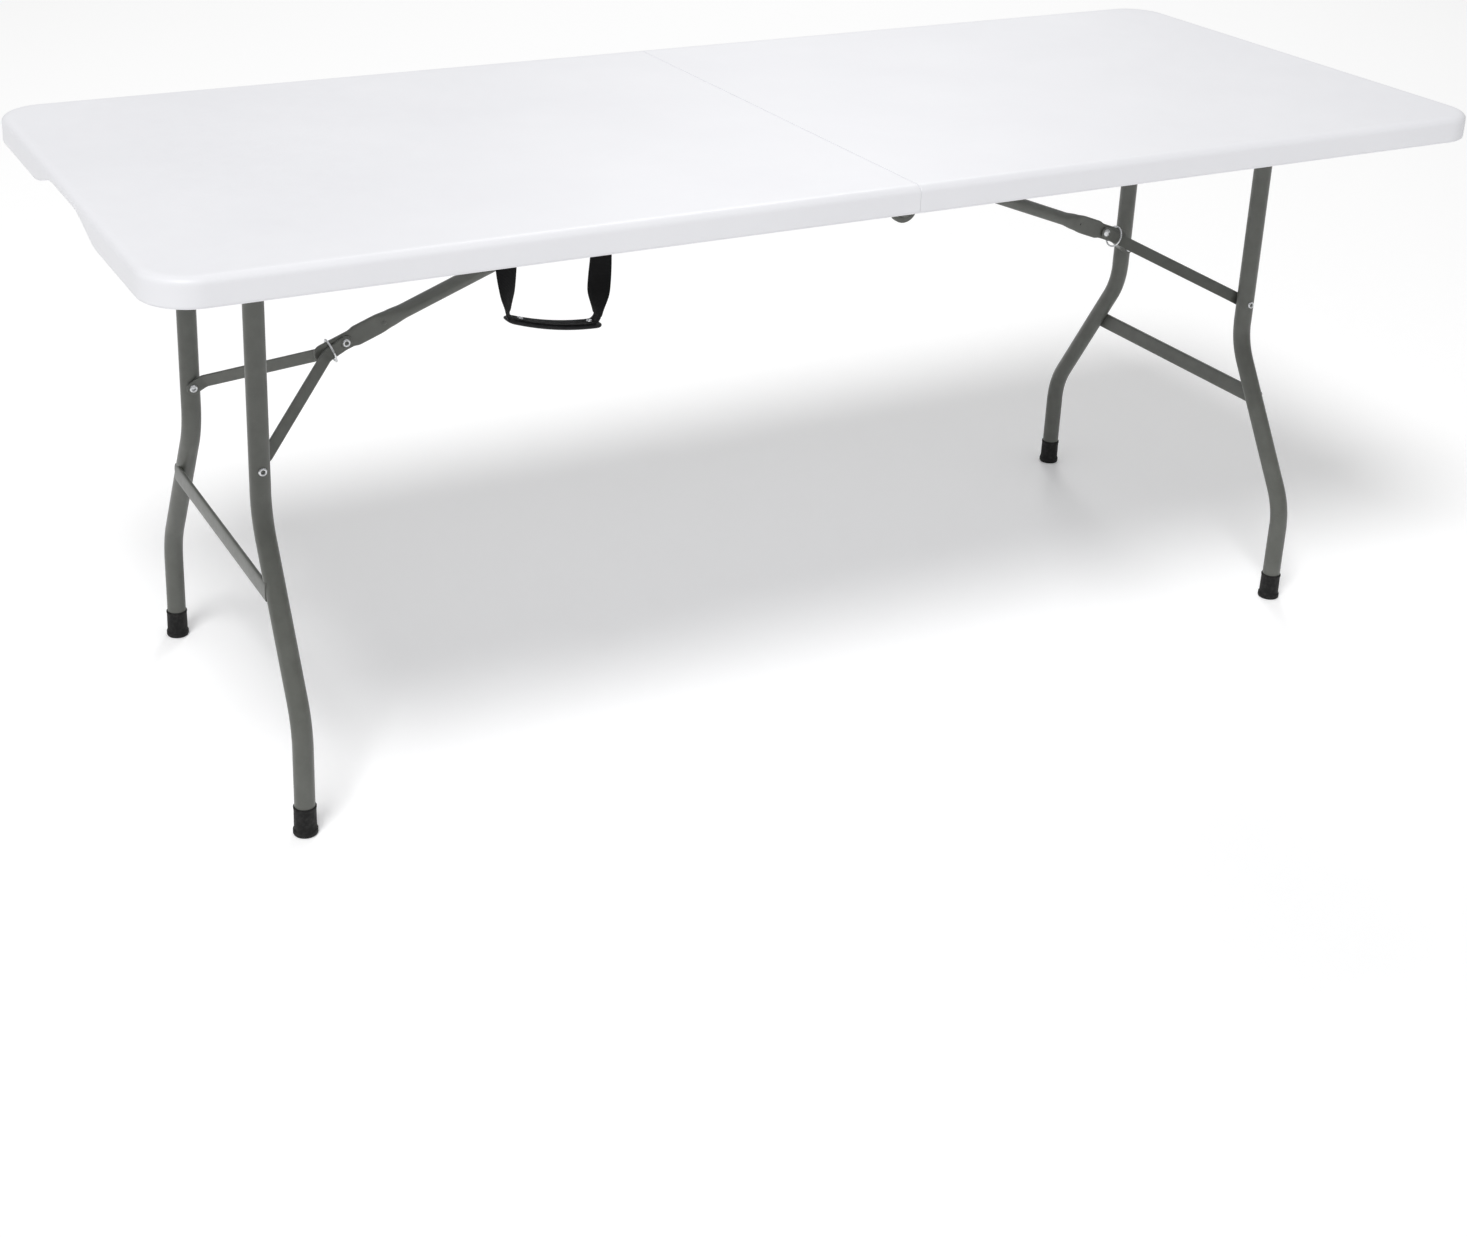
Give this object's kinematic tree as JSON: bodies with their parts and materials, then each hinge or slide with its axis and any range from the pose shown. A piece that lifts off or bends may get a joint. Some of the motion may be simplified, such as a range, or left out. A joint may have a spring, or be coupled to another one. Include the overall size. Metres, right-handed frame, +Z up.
{
  "type": "folding table",
  "caption": "Rectangular fold-in-half table with white moulded top, grey tubular folding legs, centre braces with lock rings and a webbing carry handle.",
  "frame": {"origin": "on the floor under the middle of the open table", "axes": "+Z up, +X along the length of the table, -Y towards the side with the carrying handle"},
  "size_m": [1.83, 0.735, 0.74],
  "materials": {
    "moulded_white": "fine moulded texture, satin",
    "grey_powder_coat": "fine grey powder coat, satin",
    "black_plastic": "moulded black, satin",
    "black_foot": "moulded black, matt",
    "black_webbing": "woven webbing",
    "zinc": "bright zinc plate"
  },
  "bodies": {
    "half_left": {"top_left": "moulded_white", "storage_clip_left": "black_plastic", "rail_left_a": "grey_powder_coat", "rail_plug_left_a": "black_plastic", "hinge_plate_left_a": "grey_powder_coat", "pivot_clip_left_a": "black_plastic", "rail_left_b": "grey_powder_coat", "rail_plug_left_b": "black_plastic", "hinge_plate_left_b": "grey_powder_coat", "pivot_clip_left_b": "black_plastic", "rail_loop_a": "black_webbing", "rail_loop_b": "black_webbing"},
    "half_right": {"top_right": "moulded_white", "storage_clip_right": "black_plastic", "rail_right_a": "grey_powder_coat", "rail_plug_right_a": "black_plastic", "hinge_plate_right_a": "grey_powder_coat", "pivot_clip_right_a": "black_plastic", "rail_right_b": "grey_powder_coat", "rail_plug_right_b": "black_plastic", "hinge_plate_right_b": "grey_powder_coat", "pivot_clip_right_b": "black_plastic"},
    "centre_tube": {"centre_tube": "grey_powder_coat"},
    "legs_left": {"cross_tube_left": "grey_powder_coat", "stretcher_left": "grey_powder_coat", "leg_left_a": "grey_powder_coat", "leg_rivet_left_a": "zinc", "foot_cap_left_a": "black_foot", "leg_left_b": "grey_powder_coat", "leg_rivet_left_b": "zinc", "foot_cap_left_b": "black_foot"},
    "brace_left": {"brace_left": "grey_powder_coat"},
    "ring_left": {"lock_ring_left": "zinc"},
    "bars_left": {"knee_rivet_left": "zinc", "brace_bar_left_a": "grey_powder_coat", "bar_rivet_left_a": "zinc", "brace_bar_left_b": "grey_powder_coat", "bar_rivet_left_b": "zinc"},
    "legs_right": {"cross_tube_right": "grey_powder_coat", "stretcher_right": "grey_powder_coat", "leg_right_a": "grey_powder_coat", "leg_rivet_right_a": "zinc", "foot_cap_right_a": "black_foot", "leg_right_b": "grey_powder_coat", "leg_rivet_right_b": "zinc", "foot_cap_right_b": "black_foot"},
    "brace_right": {"brace_right": "grey_powder_coat"},
    "ring_right": {"lock_ring_right": "zinc"},
    "bars_right": {"knee_rivet_right": "zinc", "brace_bar_right_a": "grey_powder_coat", "bar_rivet_right_a": "zinc", "brace_bar_right_b": "grey_powder_coat", "bar_rivet_right_b": "zinc"},
    "handle": {"handle_strap_a": "black_webbing", "handle_strap_b": "black_webbing", "handle_grip": "black_plastic"}
  },
  "joints": [
    {"name": "fold_left", "type": "hinge", "parent": "half_left", "child": "centre_tube", "pos_m": [0, 0, 0.7035], "axis": [0, 1, 0], "range_deg": [0, 90]},
    {"name": "fold_right", "type": "hinge", "parent": "centre_tube", "child": "half_right", "pos_m": [0, 0, 0.7035], "axis": [0, 1, 0], "range_deg": [0, 90]},
    {"name": "leg_left_fold", "type": "hinge", "parent": "half_left", "child": "legs_left", "pos_m": [-0.742, 0, 0.7205], "axis": [0, -1, 0], "range_deg": [0, 90]},
    {"name": "brace_left_swing", "type": "hinge", "parent": "half_left", "child": "brace_left", "pos_m": [0, 0, 0.7035], "axis": [0, 1, 0], "range_deg": [-0.5, 21.5]},
    {"name": "bars_left_swing", "type": "hinge", "parent": "brace_left", "child": "bars_left", "pos_m": [-0.58508, 0, 0.50295], "axis": [0, -1, 0], "range_deg": [-1, 173]},
    {"name": "ring_left_slide", "type": "slide", "parent": "brace_left", "child": "ring_left", "axis": [0.935, 0, 0.3547], "range_m": [-0.001, 0.163]},
    {"name": "leg_right_fold", "type": "hinge", "parent": "half_right", "child": "legs_right", "pos_m": [0.742, 0, 0.7205], "axis": [0, 1, 0], "range_deg": [0, 90]},
    {"name": "brace_right_swing", "type": "hinge", "parent": "half_right", "child": "brace_right", "pos_m": [0, 0, 0.7035], "axis": [0, -1, 0], "range_deg": [-0.5, 21.5]},
    {"name": "bars_right_swing", "type": "hinge", "parent": "brace_right", "child": "bars_right", "pos_m": [0.58508, 0, 0.50295], "axis": [0, 1, 0], "range_deg": [-1, 173]},
    {"name": "ring_right_slide", "type": "slide", "parent": "brace_right", "child": "ring_right", "axis": [-0.935, 0, 0.3547], "range_m": [-0.001, 0.163]},
    {"name": "handle_swing", "type": "hinge", "parent": "half_left", "child": "handle", "pos_m": [0, -0.332, 0.7035], "axis": [-1, 0, 0], "range_deg": [-60, 90]}
  ],
  "couplings": [
    {"joint": "brace_left_swing", "follows": "leg_left_fold", "ratio": 0.23082},
    {"joint": "bars_left_swing", "follows": "leg_left_fold", "ratio": 1.9058},
    {"joint": "ring_left_slide", "follows": "leg_left_fold", "m_per_rad": 0.10313},
    {"joint": "brace_right_swing", "follows": "leg_right_fold", "ratio": 0.23082},
    {"joint": "bars_right_swing", "follows": "leg_right_fold", "ratio": 1.9058},
    {"joint": "ring_right_slide", "follows": "leg_right_fold", "m_per_rad": 0.10313}
  ]
}
